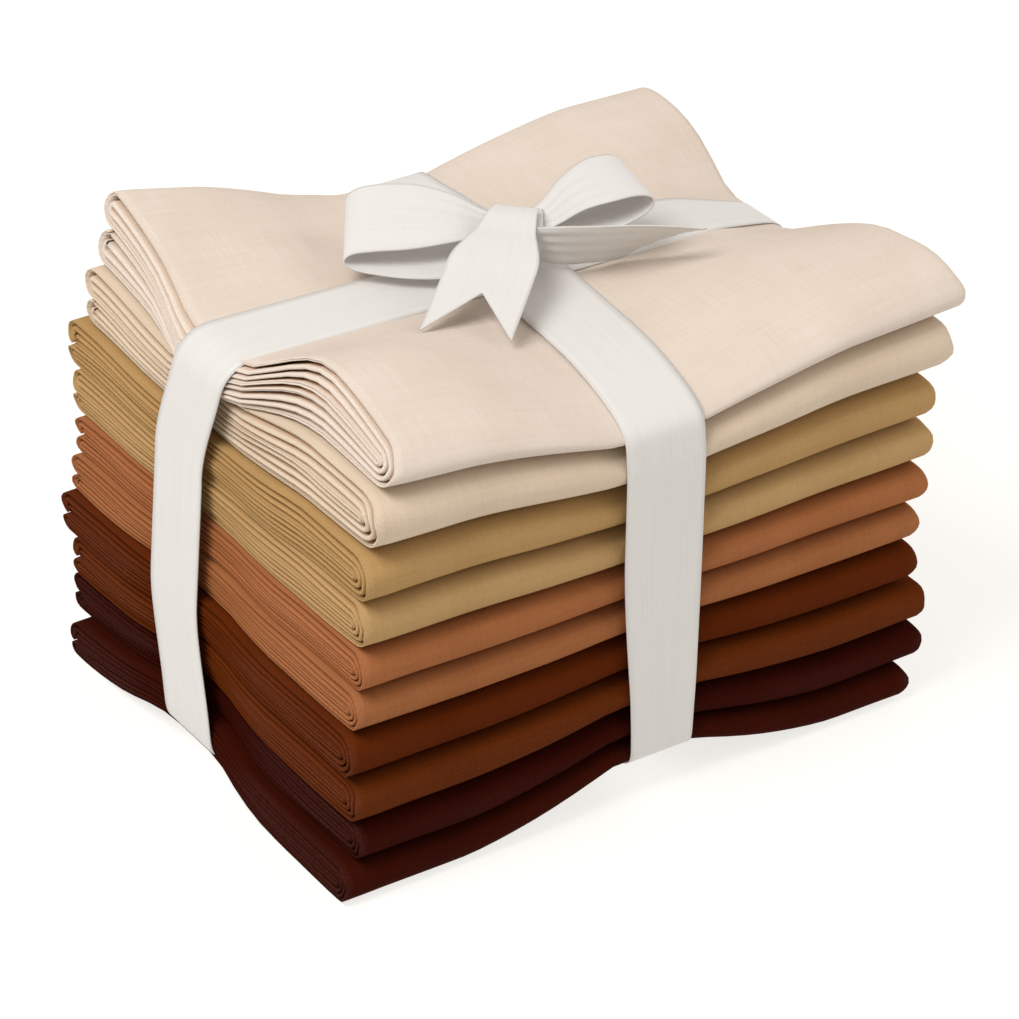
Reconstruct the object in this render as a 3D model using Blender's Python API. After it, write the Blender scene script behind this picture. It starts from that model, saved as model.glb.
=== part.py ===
"""Ten folded fat quarters of quilting cotton in a stack, tied crosswise with satin ribbon and a bow.

Each quarter is one strip of cloth four plies thick, folded back and forth into four layers.
X runs along the folded front edges, Y away from the front, Z up from the table.
All sizes below are in millimetres, and MM turns them to metres where a mesh is finished.
"""

import math
from collections import namedtuple

import bmesh
import bpy
from mathutils import Matrix, Vector

MM = 0.001

# The folded cloth: four layers with a slit between each two, turned at the front and the back
LAYERS = 4
SLIT = 0.5
STACK_GAP = 0.34
FRONT_TURN_Y = -55.0
FRONT_TURN_STEPS = 5
BACK_TURN_STEPS = 3
INNER_TURN_STEPS = 3
RAW_END_SETBACK = (0.5, 1.9)
END_STAGGER = 0.7
STAGGER_WAVE = 0.9
STAGGER_PHASE = 1.7
COTTON_ROUGHNESS = 0.85

# Each quarter from the bottom of the stack up: its thickness at the corners, its two ends in X,
# how far its front fold and its back edge lie from where the others do, and its colour
Quarter = namedtuple("Quarter", "number thick start end front back raw_pair colour")
FRONT_Y = -60.0
BACK_Y = 57.9
QUARTERS = (
    Quarter(10, 8.8, -75.6, 66.7, 0.0, -1.5, "top", (0.033, 0.006, 0.003)),
    Quarter(9, 9.9, -72.2, 69.9, 0.3, 2.4, "bottom", (0.033, 0.005, 0.003)),
    Quarter(8, 10.6, -73.4, 69.8, -0.2, 0.0, "top", (0.091, 0.022, 0.005)),
    Quarter(7, 10.3, -74.0, 67.3, 0.4, 2.6, "top", (0.078, 0.018, 0.004)),
    Quarter(6, 9.4, -72.0, 67.3, 0.0, 1.0, "bottom", (0.254, 0.098, 0.051)),
    Quarter(5, 9.6, -70.0, 68.6, -0.3, 0.0, "top", (0.270, 0.105, 0.053)),
    Quarter(4, 10.9, -69.0, 69.7, 0.2, 1.7, "bottom", (0.485, 0.366, 0.184)),
    Quarter(3, 11.5, -68.2, 69.3, 0.0, 3.1, "top", (0.434, 0.305, 0.147)),
    Quarter(2, 13.9, -66.2, 72.4, 0.2, -2.0, "bottom", (0.717, 0.597, 0.434)),
    Quarter(1, 11.9, -62.5, 75.6, 0.0, -3.0, "bottom", (0.791, 0.694, 0.578)),
)
LEVELS = [sum(q.thick for q in QUARTERS[:n]) for n in range(len(QUARTERS) + 1)]
STACK_HEIGHT = LEVELS[-1]

# The ribbon's two bands and how the stack gives under them
RIBBON_WIDTH = 19.0
RIBBON_THICK = 1.0
RIBBON_GAP = 0.35
RIBBON_COLOUR = (0.84, 0.81, 0.77)
RIBBON_ROUGHNESS = 0.35
CREASE_ANGLE = math.radians(50.0)
CORNER_POINTS = 12
SHORTEST_STEP = 0.45
LEAST_TURN = 1e-6
CROSS_X_FRONT = 0.1
CROSS_X_KNOT = 6.4
CROSS_X_BACK = 4.5
LENGTH_Y = 8.3
LENGTH_Y_TOP = 5.3
LENGTH_Y_SIDE = 12.3
LENGTH_Y_FOOT = 5.8
LEAN_TOP_Z = 97.0
LEAN_END_Z = 68.0
FOOT_TOP_Z = 40.0
FOOT_END_Z = 4.0
LEAN_ROOM = 3.0
FLAT_UNDER_CROSS = 10.5
FLAT_UNDER_LENGTH = 12.5
REACH_FROM_CROSS = 47.0
REACH_FROM_LENGTH = 43.0
PRESS_POWER = 1.5
LIFT_UNDER_CROSS = 8.4
LIFT_UNDER_LENGTH = 4.8
LIFT_FADE = 4.8
DIP_MIDDLE = 10.0
DIP_AT_FRONT = 11.0
DIP_AT_BACK = 9.0
DIP_AT_START = 10.0
DIP_AT_END = 15.5
DIP_FADE = 3
ROW_MATCH = 0.05

# Beyond a band's press the whole layer slopes towards it, as a tent does
TENT_SHARE = 0.4
TENT_FROM_CROSS = 87.0
TENT_FROM_LENGTH = 72.0

# How far the top stands above or below level at its corners, over its left end and along its front
RIGHT_CORNER_DROP = 3.0
BACK_CORNER_DROP = 4.5
DROP_POWER = 4
LEFT_CORNER_FLARE = 12.0
FLARE_POWER = 16
FLARE_START = (-20.0, 20.0)
LEFT_DOME = 6.0
DOME_Y = -31.0
DOME_EDGES = (-66.0, -4.0)
RIGHT_DOME = 6.2
RIGHT_DOME_X = 38.0
RIGHT_DOME_Y = -53.0
RIGHT_DOME_EDGES = (-72.0, -33.0)
FRONT_DROOP = 4.6
DROOP_START = 32.0
DROOP_POWER = 16
BOX_HALF = (75.0, 60.0)

# The bow, measured from the knot's foot on top of the crossing bands
KNOT_X = 7.5
KNOT_Y = 5.0
KNOT_SIZE = (12.0, 13.0, 8.6)
KNOT_TURN = math.radians(-33.0)
KNOT_GAP = 0.35
KNOT_ROUNDING = 2.6
KNOT_PINCH = 0.16

# One row for each stop along a loop or tail: distance from the knot, height, sideways, width and tilt
Stop = namedtuple("Stop", "reach height side width tilt")
LOOP_LEFT = (
    Stop(7.9, 2.2, -3.6, 13.0, 4.0), Stop(14.0, 1.9, -5.0, 17.0, 4.0), Stop(22.0, 1.9, -4.2, 19.0, 4.0),
    Stop(29.5, 2.0, -2.6, 19.0, 5.0), Stop(33.8, 3.0, -1.6, 19.0, 9.0), Stop(35.6, 5.2, -1.4, 19.0, 14.0),
    Stop(33.9, 7.4, -1.2, 19.0, 18.0), Stop(29.0, 8.4, -1.2, 19.0, 20.0), Stop(21.0, 8.7, -1.2, 18.5, 19.0),
    Stop(13.0, 8.0, -1.0, 15.0, 14.0), Stop(7.9, 6.7, -0.5, 11.0, 8.0),
)
LOOP_RIGHT = (
    Stop(7.9, 4.5, 0.0, 11.0, 0.0), Stop(12.0, 4.9, 0.0, 14.0, 0.0), Stop(18.0, 6.0, 0.0, 18.0, 2.0),
    Stop(23.5, 7.8, 0.0, 19.0, 2.0), Stop(26.8, 10.0, 0.0, 19.0, 2.0), Stop(26.6, 12.6, 0.0, 19.0, 2.0),
    Stop(23.4, 14.0, 0.0, 19.0, 2.0), Stop(18.4, 13.6, 0.0, 18.5, 2.0), Stop(12.6, 11.2, 0.0, 15.0, 0.0),
    Stop(7.9, 7.6, 0.0, 11.0, 0.0),
)
TAIL_FRONT = (
    Stop(8.2, 7.8, 0.0, 11.5, 0.0), Stop(12.0, 8.2, 0.0, 14.0, 0.0), Stop(18.0, 7.6, 0.0, 18.0, 0.0),
    Stop(25.0, 6.2, 0.0, 19.0, 0.0), Stop(42.5, 3.4, 0.0, 19.0, 0.0),
)
TAIL_RIGHT = (
    Stop(7.0, 5.8, -9.0, 12.0, -66.0), Stop(16.0, 5.6, -9.0, 14.0, -58.0), Stop(27.0, 4.9, -7.0, 17.0, -46.0),
    Stop(37.5, 3.6, -4.5, 19.0, -35.0),
)
HEADING_LOOP_LEFT = math.radians(146.8)
HEADING_LOOP_RIGHT = math.radians(-12.0)
HEADING_TAIL_FRONT = math.radians(-137.0)
HEADING_TAIL_RIGHT = math.radians(-20.0)
TAIL_FRONT_NOTCH = 14.0
TAIL_RIGHT_NOTCH = 8.0


def clear_scene():
    for item in list(bpy.data.objects):
        bpy.data.objects.remove(item, do_unlink=True)


def material(name, colour, roughness):
    made = bpy.data.materials.new(name)
    made.use_nodes = True
    shader = made.node_tree.nodes["Principled BSDF"]
    shader.inputs["Base Color"].default_value = (*colour, 1.0)
    shader.inputs["Roughness"].default_value = roughness
    shader.inputs["Metallic"].default_value = 0.0
    return made


def add_piece(name, bm, finish):
    """Turn a bmesh in millimetres into a named object in metres."""
    bmesh.ops.recalc_face_normals(bm, faces=bm.faces)
    bmesh.ops.scale(bm, vec=(MM, MM, MM), verts=bm.verts)
    mesh = bpy.data.meshes.new(name)
    bm.to_mesh(mesh)
    bm.free()
    mesh.materials.append(finish)
    piece = bpy.data.objects.new(name, mesh)
    bpy.context.collection.objects.link(piece)
    return piece


def ramp(value, start, end):
    """Nought at start, one at end, straight between."""
    return min(max((value - start) / (end - start), 0.0), 1.0)


def ease(value, start, end):
    """Nought at start, one at end, with soft ends."""
    share = ramp(value, start, end)
    return share * share * (3 - 2 * share)


def beside_band(flat, reach):
    """Where the mesh rows lie on both sides of a band, from its middle line."""
    half_way = (flat + reach) / 2
    return [-reach, -half_way, -flat, flat, half_way, reach]


def hump(value, crown, edges):
    """One at the crown, nought from the edges on, with soft slopes."""
    return ease(value, edges[0], crown) - ease(value, crown, edges[1])


def press(distance, flat, reach):
    """How much a band presses the cloth at this distance from its middle line: steepest beside it."""
    return (1 - ramp(abs(distance), flat, reach)) ** PRESS_POWER


def slope(distance, flat, tent):
    """The straight slope on which the whole layer leans towards a band."""
    return 1 - ramp(abs(distance), flat, tent)


def cross_x(y):
    """The crosswise band's middle line: askew up to the knot, straighter behind it."""
    if y < LENGTH_Y:
        return CROSS_X_FRONT + (CROSS_X_KNOT - CROSS_X_FRONT) * (y - FRONT_Y) / (LENGTH_Y - FRONT_Y)
    return CROSS_X_KNOT + (CROSS_X_BACK - CROSS_X_KNOT) * (y - LENGTH_Y) / (-FRONT_Y - LENGTH_Y)


def join(along_cross, along_length, under_cross, under_length):
    """Join the two bands' effects, the deeper one ruling where they cross."""
    return (
        under_cross * along_cross * (1 - along_length)
        + under_length * along_length * (1 - along_cross)
        + max(under_cross, under_length) * along_cross * along_length
    )


def bottom_lift(x, y):
    """How far the bands draw the bottom up; its corners stay flat on the table."""
    along_cross = press(x - cross_x(y), FLAT_UNDER_CROSS, REACH_FROM_CROSS)
    along_length = press(y - LENGTH_Y, FLAT_UNDER_LENGTH, REACH_FROM_LENGTH)
    return join(along_cross, along_length, LIFT_UNDER_CROSS, LIFT_UNDER_LENGTH)


def top_dip(x, y):
    """The depth pressed into the top, deeper at the edges that the bands bend over."""
    across = x - cross_x(y)
    away = y - LENGTH_Y
    under_cross = DIP_MIDDLE
    under_cross += (DIP_AT_FRONT - DIP_MIDDLE) * ramp(-y, REACH_FROM_LENGTH - LENGTH_Y, BOX_HALF[1])
    under_cross += (DIP_AT_BACK - DIP_MIDDLE) * ramp(y, LENGTH_Y + REACH_FROM_LENGTH, BOX_HALF[1])
    under_length = DIP_MIDDLE
    under_length += (DIP_AT_START - DIP_MIDDLE) * ramp(-x, REACH_FROM_CROSS - cross_x(y), BOX_HALF[0])
    under_length += (DIP_AT_END - DIP_MIDDLE) * ramp(x, REACH_FROM_CROSS + cross_x(y), BOX_HALF[0])
    pressed = join(
        press(across, FLAT_UNDER_CROSS, REACH_FROM_CROSS),
        press(away, FLAT_UNDER_LENGTH, REACH_FROM_LENGTH),
        under_cross, under_length,
    )
    leaning = join(
        slope(across, FLAT_UNDER_CROSS, TENT_FROM_CROSS),
        slope(away, FLAT_UNDER_LENGTH, TENT_FROM_LENGTH if away > 0 else REACH_FROM_LENGTH),
        under_cross, under_length,
    )
    return pressed * (1 - TENT_SHARE) + leaning * TENT_SHARE


def boundary(level, x, y):
    """The height of the surface between two quarters, or of the stack's bottom or top."""
    share = level / STACK_HEIGHT
    east = ramp(x, -BOX_HALF[0], BOX_HALF[0])
    north = ramp(y, -BOX_HALF[1], BOX_HALF[1])
    drop = RIGHT_CORNER_DROP * east * (1 - north) + BACK_CORNER_DROP * east * north
    flare_x = ramp(-x, -FLARE_START[0], BOX_HALF[0])
    flare_y = ramp(y, FLARE_START[1], BOX_HALF[1])
    dome = LEFT_DOME * flare_x * hump(y, DOME_Y, DOME_EDGES)
    dome += RIGHT_DOME * ramp(x, RIGHT_DOME_X, BOX_HALF[0]) * hump(y, RIGHT_DOME_Y, RIGHT_DOME_EDGES)
    droop = FRONT_DROOP * ramp(-y, DROOP_START, BOX_HALF[1]) ** 2
    height = level - drop * share ** DROP_POWER - droop * share ** DROOP_POWER
    height += (LEFT_CORNER_FLARE * flare_x * flare_y + dome) * share ** FLARE_POWER
    return height + bottom_lift(x, y) * (1 - share) ** LIFT_FADE - top_dip(x, y) * share ** DIP_FADE


def fold_line(quarter, rows):
    """The middle line of a strip folded back and forth: points (y, z) and the way to its side."""
    layer = (quarter.thick - (LAYERS - 1) * SLIT) / LAYERS
    pitch = layer + SLIT
    centre = FRONT_TURN_Y + quarter.front
    back = BACK_Y + quarter.back
    heights = [quarter.thick - layer / 2 - n * pitch for n in range(LAYERS)]
    back_turn = back - pitch / 2 - layer / 2
    line = []

    def run(height, start, end, side):
        inside = [y for y in rows if min(start, end) < y < max(start, end)]
        if start > end:
            inside.reverse()
        for y in [start, *inside, end]:
            line.append((y, height, 0.0, side))

    def turn(centre_y, centre_z, radius, first, last, steps, way):
        for n in range(1, steps):
            angle = math.radians(first + (last - first) * n / steps)
            line.append((
                centre_y + radius * math.cos(angle), centre_z + radius * math.sin(angle),
                way * math.cos(angle), way * math.sin(angle),
            ))

    middle = quarter.thick / 2
    run(heights[0], back - RAW_END_SETBACK[0], centre, -1.0)
    turn(centre, middle, 1.5 * pitch, 90, 270, FRONT_TURN_STEPS, -1)
    run(heights[3], centre, back_turn, 1.0)
    turn(back_turn, heights[3] + pitch / 2, pitch / 2, -90, 90, BACK_TURN_STEPS, -1)
    run(heights[2], back_turn, centre, -1.0)
    turn(centre, middle, pitch / 2, 270, 90, INNER_TURN_STEPS, 1)
    run(heights[1], centre, back - RAW_END_SETBACK[1], 1.0)
    if quarter.raw_pair == "bottom":
        line = [(y, quarter.thick - z, side_y, -side_z) for y, z, side_y, side_z in line]
    return line, layer


def split_faces(bm):
    """Cut each four-sided face the same way, so that touching surfaces bend alike."""
    for face in [f for f in bm.faces if len(f.verts) == 4]:
        a, b, c, d = face.verts
        spread = [abs((u.co - v.co).dot(Vector((1.0, 1.0, 0.0)))) for u, v in ((a, c), (b, d))]
        bmesh.utils.face_split(face, *((a, c) if spread[0] > spread[1] else (b, d)))


def folded_quarter(index):
    """One fat quarter: its folded section pushed along X, then settled into the stack."""
    quarter = QUARTERS[index]
    rows = [LENGTH_Y + offset for offset in beside_band(FLAT_UNDER_LENGTH, REACH_FROM_LENGTH)]
    columns = beside_band(FLAT_UNDER_CROSS, REACH_FROM_CROSS)
    line, layer = fold_line(quarter, rows)
    bm = bmesh.new()
    bmesh.ops.create_grid(bm, x_segments=len(line) - 1, y_segments=1, size=1.0)
    for vert in bm.verts:
        stop = round((vert.co.x + 1) / 2 * (len(line) - 1))
        side = math.copysign(layer / 2, vert.co.y)
        y, z, side_y, side_z = line[stop]
        vert.co = Vector((0.0, y + side * side_y, z + side * side_z))
    faces = list(bm.faces)
    place = {vert: 0 for vert in bm.verts}
    for column in range(1, len(columns) + 2):
        grown = bmesh.ops.extrude_face_region(bm, geom=faces, use_keep_orig=True)["geom"]
        if column > 1:
            bmesh.ops.delete(bm, geom=faces, context="FACES")
        faces = [item for item in grown if isinstance(item, bmesh.types.BMFace)]
        for vert in (item for item in grown if isinstance(item, bmesh.types.BMVert)):
            place[vert] = column
    for vert, column in place.items():
        wave = END_STAGGER * math.sin(STAGGER_WAVE * vert.co.z + STAGGER_PHASE * quarter.number)
        if column == 0:
            vert.co.x = quarter.start + abs(wave)
        elif column > len(columns):
            vert.co.x = quarter.end - abs(wave)
        else:
            vert.co.x = cross_x(vert.co.y) + columns[column - 1]
    bmesh.ops.recalc_face_normals(bm, faces=bm.faces)
    split_faces(bm)
    for vert in bm.verts:
        x, y, z = vert.co
        floor = boundary(LEVELS[index], x, y) + (STACK_GAP / 2 if index > 0 else 0.0)
        ceiling = boundary(LEVELS[index + 1], x, y) - STACK_GAP / 2
        vert.co.z = floor + (ceiling - floor) * z / quarter.thick
    name = f"fat_quarter_{quarter.number:02d}"
    piece = add_piece(name, bm, material(name, quarter.colour, COTTON_ROUGHNESS))
    for face in piece.data.polygons:
        face.use_smooth = False
    return piece


def hull(points):
    """The convex outline round flat points, anticlockwise."""
    ordered = sorted(set((round(a, 4), round(b, 4)) for a, b in points))
    outline = []
    for sweep in (ordered, ordered[::-1]):
        chain = []
        for point in sweep:
            while len(chain) > 1:
                (ax, ay), (bx, by) = chain[-2], chain[-1]
                if (bx - ax) * (point[1] - ay) - (by - ay) * (point[0] - ax) > LEAST_TURN:
                    break
                chain.pop()
            chain.append(point)
        outline += chain[:-1]
    return outline


def taut_line(points):
    """The middle line of a ribbon drawn tight round flat points."""
    stand_off = RIBBON_GAP + RIBBON_THICK / 2
    reach = stand_off / math.cos(math.pi / CORNER_POINTS)
    swollen = []
    for a, b in hull(points):
        for n in range(CORNER_POINTS):
            angle = 2 * math.pi * (n + 0.5) / CORNER_POINTS
            swollen.append((a + reach * math.cos(angle), b + reach * math.sin(angle)))
    outline = hull(swollen)
    kept = [outline[0]]
    for point in outline[1:]:
        if min(math.dist(point, kept[-1]), math.dist(point, outline[0])) > SHORTEST_STEP:
            kept.append(point)
    return kept


def band(name, outline, place):
    """A closed ribbon band: place turns an outline point and a side, -1 to 1, into a position."""
    bm = bmesh.new()
    bmesh.ops.create_circle(bm, segments=len(outline), radius=1.0, cap_ends=False)
    bm.verts.ensure_lookup_table()
    flat = {vert: outline[n] for n, vert in enumerate(bm.verts)}
    grown = bmesh.ops.extrude_edge_only(bm, edges=bm.edges)["geom"]
    other = [item for item in grown if isinstance(item, bmesh.types.BMVert)]
    first = [vert for vert in bm.verts if vert in flat]
    for vert, twin in zip(other, first):
        flat[vert] = flat[twin]
    for vert in first:
        vert.co = place(flat[vert], -1)
    for vert in other:
        vert.co = place(flat[vert], 1)
    bmesh.ops.recalc_face_normals(bm, faces=bm.faces)
    piece = add_piece(name, bm, material(name, RIBBON_COLOUR, RIBBON_ROUGHNESS))
    thicken(piece)
    return piece


def thicken(piece):
    wall = piece.modifiers.new("ribbon thickness", "SOLIDIFY")
    wall.thickness = RIBBON_THICK * MM
    wall.offset = 0.0
    wall.use_even_offset = True
    wall.use_rim = True
    for face in piece.data.polygons:
        face.use_smooth = True
    piece.data.set_sharp_from_angle(angle=CREASE_ANGLE)


def stack_points(quarters, nearest, keep):
    """The stack's points, in millimetres, on the two mesh rows nearest to a band's edges."""
    found = []
    for piece in quarters:
        for vert in piece.data.vertices:
            point = vert.co / MM
            if abs(abs(nearest(point)) - keep) < ROW_MATCH:
                found.append(point)
    return found


def lengthwise_y(x, z):
    """Where the lengthwise band's middle runs: it leans as it goes down the near end."""
    if z > LEAN_END_Z:
        side = LENGTH_Y_SIDE if x < 0 else LENGTH_Y
        return LENGTH_Y_TOP + (side - LENGTH_Y_TOP) * ease(-z, -LEAN_TOP_Z, -LEAN_END_Z)
    aim = LENGTH_Y_FOOT + (LENGTH_Y_SIDE - LENGTH_Y_FOOT) * ease(z, FOOT_END_Z, FOOT_TOP_Z)
    return LENGTH_Y + (aim - LENGTH_Y) * ramp(-x, -BOX_HALF[0], BOX_HALF[0])


def height_at(outline, across, top):
    """The height of a closed outline at a place along it, on its top or bottom run."""
    found = []
    for (ax, az), (bx, bz) in zip(outline, outline[1:] + outline[:1]):
        if min(ax, bx) <= across <= max(ax, bx) and ax != bx:
            found.append(az + (bz - az) * (across - ax) / (bx - ax))
    return max(found) if top else min(found)


def ribbon_bands(quarters):
    """The two bands; the crosswise one passes outside the lengthwise one above and below."""
    under = stack_points(quarters, lambda p: p.y - LENGTH_Y, FLAT_UNDER_LENGTH)
    length_line = taut_line([(p.x, p.z) for p in under])

    def place_length(point, side):
        x, z = point
        return Vector((x, lengthwise_y(x, z) + side * RIBBON_WIDTH / 2, z))

    band("ribbon_lengthwise", length_line, place_length)
    under = stack_points(quarters, lambda p: p.x - cross_x(p.y), FLAT_UNDER_CROSS)
    points = [(p.y, p.z) for p in under]
    for y in (LENGTH_Y - RIBBON_WIDTH / 2 - LEAN_ROOM, LENGTH_Y + RIBBON_WIDTH / 2):
        for side in (-1, 1):
            x = cross_x(LENGTH_Y) + side * RIBBON_WIDTH / 2
            points.append((y, height_at(length_line, x, True) + RIBBON_THICK / 2))
            points.append((y, height_at(length_line, x, False) - RIBBON_THICK / 2))
    cross_line = taut_line(points)

    def place_cross(point, side):
        y, z = point
        return Vector((cross_x(y) + side * RIBBON_WIDTH / 2, y, z))

    band("ribbon_crosswise", cross_line, place_cross)
    return height_at(cross_line, KNOT_Y, True) + RIBBON_THICK / 2


def bow_knot(foot):
    """The wrapped knot: a block with its edges rounded over."""
    bm = bmesh.new()
    bmesh.ops.create_cube(bm, size=1.0)
    bmesh.ops.scale(bm, vec=KNOT_SIZE, verts=bm.verts)
    bmesh.ops.bevel(
        bm, geom=bm.edges[:], offset=KNOT_ROUNDING, segments=2, profile=0.5, affect="EDGES", material=-1
    )
    for vert in bm.verts:
        pinch = 1 - KNOT_PINCH * ramp(vert.co.z, -KNOT_SIZE[2] / 2, KNOT_SIZE[2] / 2)
        vert.co.x *= pinch
    bmesh.ops.rotate(bm, cent=(0, 0, 0), matrix=Matrix.Rotation(KNOT_TURN, 3, "Z"), verts=bm.verts)
    middle = Vector((KNOT_X, KNOT_Y, foot + KNOT_GAP + KNOT_SIZE[2] / 2))
    bmesh.ops.translate(bm, vec=middle, verts=bm.verts)
    return add_piece("bow_knot", bm, material("bow_knot", RIBBON_COLOUR, RIBBON_ROUGHNESS))


def ribbon_end(name, foot, heading, stops, notch=0.0):
    """A loop or tail of the bow: a strip through its stops, cut to a swallow tail if notched."""
    along = Vector((math.cos(heading), math.sin(heading), 0.0))
    level = Vector((-along.y, along.x, 0.0))
    if level.y < 0:
        level.negate()
    origin = Vector((KNOT_X, KNOT_Y, foot + KNOT_GAP))
    bm = bmesh.new()
    rows = len(stops)
    bmesh.ops.create_grid(bm, x_segments=rows - 1, y_segments=2, size=1.0)
    for vert in bm.verts:
        stop = stops[round((vert.co.x + 1) / 2 * (rows - 1))]
        tilt = math.radians(stop.tilt)
        across = level * math.cos(tilt) + Vector((0, 0, 1)) * math.sin(tilt)
        middle = origin + along * stop.reach + level * stop.side + Vector((0, 0, stop.height))
        if notch and stop is stops[-1] and abs(vert.co.y) < 0.5:
            middle -= along * notch
            middle.z += (stops[-2].height - stop.height) * notch / (stop.reach - stops[-2].reach)
        vert.co = middle + across * (vert.co.y * stop.width / 2)
    piece = add_piece(name, bm, material(name, RIBBON_COLOUR, RIBBON_ROUGHNESS))
    thicken(piece)
    return piece


def main():
    clear_scene()
    quarters = [folded_quarter(n) for n in range(len(QUARTERS))]
    foot = ribbon_bands(quarters)
    bow_knot(foot)
    ribbon_end("bow_loop_left", foot, HEADING_LOOP_LEFT, LOOP_LEFT)
    ribbon_end("bow_loop_right", foot, HEADING_LOOP_RIGHT, LOOP_RIGHT)
    ribbon_end("bow_tail_front", foot, HEADING_TAIL_FRONT, TAIL_FRONT, TAIL_FRONT_NOTCH)
    ribbon_end("bow_tail_right", foot, HEADING_TAIL_RIGHT, TAIL_RIGHT, TAIL_RIGHT_NOTCH)


main()
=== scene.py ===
"""Ten folded fat quarters of quilting cotton, tied crosswise with white satin ribbon and a bow.

Each quarter is one thin sheet of cloth, folded in half twice each way and settled into the stack.
Sizes below are in millimetres, and MM turns them to metres where a mesh is finished.
"""
import math
from collections import namedtuple

import bmesh
import bpy
from mathutils import Matrix, Vector, noise


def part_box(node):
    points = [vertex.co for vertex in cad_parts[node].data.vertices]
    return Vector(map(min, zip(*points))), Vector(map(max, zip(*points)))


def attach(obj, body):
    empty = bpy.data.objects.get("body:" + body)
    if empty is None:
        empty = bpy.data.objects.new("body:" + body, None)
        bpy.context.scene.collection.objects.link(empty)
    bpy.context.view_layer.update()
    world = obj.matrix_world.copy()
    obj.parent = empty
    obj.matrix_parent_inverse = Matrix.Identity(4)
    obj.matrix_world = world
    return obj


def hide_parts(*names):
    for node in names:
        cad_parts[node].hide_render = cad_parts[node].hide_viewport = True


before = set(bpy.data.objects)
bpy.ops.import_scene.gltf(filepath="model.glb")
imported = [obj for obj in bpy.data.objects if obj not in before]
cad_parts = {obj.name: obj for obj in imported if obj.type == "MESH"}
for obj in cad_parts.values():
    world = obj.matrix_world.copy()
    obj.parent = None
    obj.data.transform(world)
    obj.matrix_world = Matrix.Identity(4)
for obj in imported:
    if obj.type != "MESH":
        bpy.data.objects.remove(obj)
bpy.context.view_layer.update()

MM = 0.001

# The cut cloth and how thick one ply is
CUT_LENGTH = 559.0
CUT_WIDTH = 457.0
CLOTH_THICK = 0.30
PLY_TOUCH = 0.58
PLY_APART = 0.76
PLIES = 16
PLY_SPARE = 0.1
RAW_SETBACK = (0.2, 0.5)
JOINED_SETBACK = 0.7
RAW_CLOSED = 1.1
STACK_GAP = 0.34
FRONT_TURN_Y = -55.0
FRONT_Y = -60.0
BACK_Y = 57.9

# Each quarter from the bottom up: thickness at the corners, ends in X, how far its front and back
# stand off from the others', which pair of layers has the raw edges, and its dye
Quarter = namedtuple("Quarter", "number thick start end front back raw_pair slot")
QUARTERS = (
    Quarter(10, 8.8, -75.6, 66.7, 0.0, -1.5, "top", "darkest_brown"),
    Quarter(9, 9.9, -72.2, 69.9, 0.3, 2.4, "bottom", "dark_brown"),
    Quarter(8, 10.6, -73.4, 69.8, -0.2, 0.0, "top", "chestnut"),
    Quarter(7, 10.3, -74.0, 67.3, 0.4, 2.6, "top", "brown"),
    Quarter(6, 9.4, -72.0, 67.3, 0.0, 1.0, "bottom", "russet"),
    Quarter(5, 9.6, -71.0, 68.6, -0.3, 0.0, "top", "rosy_brown"),
    Quarter(4, 10.9, -70.4, 69.7, 0.2, 1.7, "bottom", "khaki"),
    Quarter(3, 11.5, -70.2, 69.3, 0.0, 3.1, "top", "tan"),
    Quarter(2, 13.9, -68.2, 72.4, 0.2, -2.0, "bottom", "light_beige"),
    Quarter(1, 11.9, -62.0, 75.6, 0.0, -3.0, "bottom", "cream"),
)
LEVELS = [sum(q.thick for q in QUARTERS[:n]) for n in range(len(QUARTERS) + 1)]
STACK_HEIGHT = LEVELS[-1]
TOP_QUARTER = 1

# Each dye's two shades, linear: the hollows' and the crowns' of its threads
Dye = namedtuple("Dye", "deep light")
DYES = {
    "cream": Dye((0.550, 0.458, 0.385), (0.642, 0.555, 0.485)),
    "light_beige": Dye((0.520, 0.408, 0.300), (0.616, 0.505, 0.388)),
    "tan": Dye((0.320, 0.190, 0.074), (0.417, 0.254, 0.104)),
    "khaki": Dye((0.345, 0.210, 0.086), (0.440, 0.275, 0.122)),
    "rosy_brown": Dye((0.248, 0.086, 0.030), (0.342, 0.127, 0.049)),
    "russet": Dye((0.238, 0.083, 0.029), (0.330, 0.125, 0.048)),
    "brown": Dye((0.069, 0.0118, 0.0012), (0.102, 0.0192, 0.0024)),
    "chestnut": Dye((0.075, 0.0138, 0.0014), (0.110, 0.0220, 0.0026)),
    "dark_brown": Dye((0.024, 0.0022, 0.0008), (0.038, 0.0038, 0.0013)),
    "darkest_brown": Dye((0.026, 0.0028, 0.0008), (0.041, 0.0046, 0.0013)),
}
# Paler fold ends and front edges: partly wear of the fibres, partly a painted rim highlight
WEAR_AND_RIM_LIGHTER = 0.05
# Painted shade: plies deep in the block darken towards this warm tint of the deep dye, for the shadow in
# the gaps between them
PAINTED_GAP_SHADE_TINT = (1.00, 0.70, 0.40)
PAINTED_GAP_SHADE_STRENGTH = 0.85
THREAD_PITCH = 0.46
SLUB_SCALE = (45.0, 1500.0)
CLOUD_SCALE = 55.0
CLOUD_DETAIL = 4.0
FUZZ_SCALE = 2600.0
TONE_RANGE = (0.18, 0.74)
COTTON_ROUGHNESS = 0.90
COTTON_GLOSS = 0.03

# Satin's two shades, its fine cross ribs, and a faint painted glow in place of light through the thin satin
SATIN_LIGHT = (0.550, 0.535, 0.515)
SATIN_DEEP = (0.490, 0.472, 0.448)
SATIN_PAINTED_GLOW = (1.0, 0.92, 0.84, 1.0)
RIB_PITCH = 0.36
STREAK_SCALE = (26.0, 1400.0)
SELVAGE = (0.0086, 0.0091)

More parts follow.
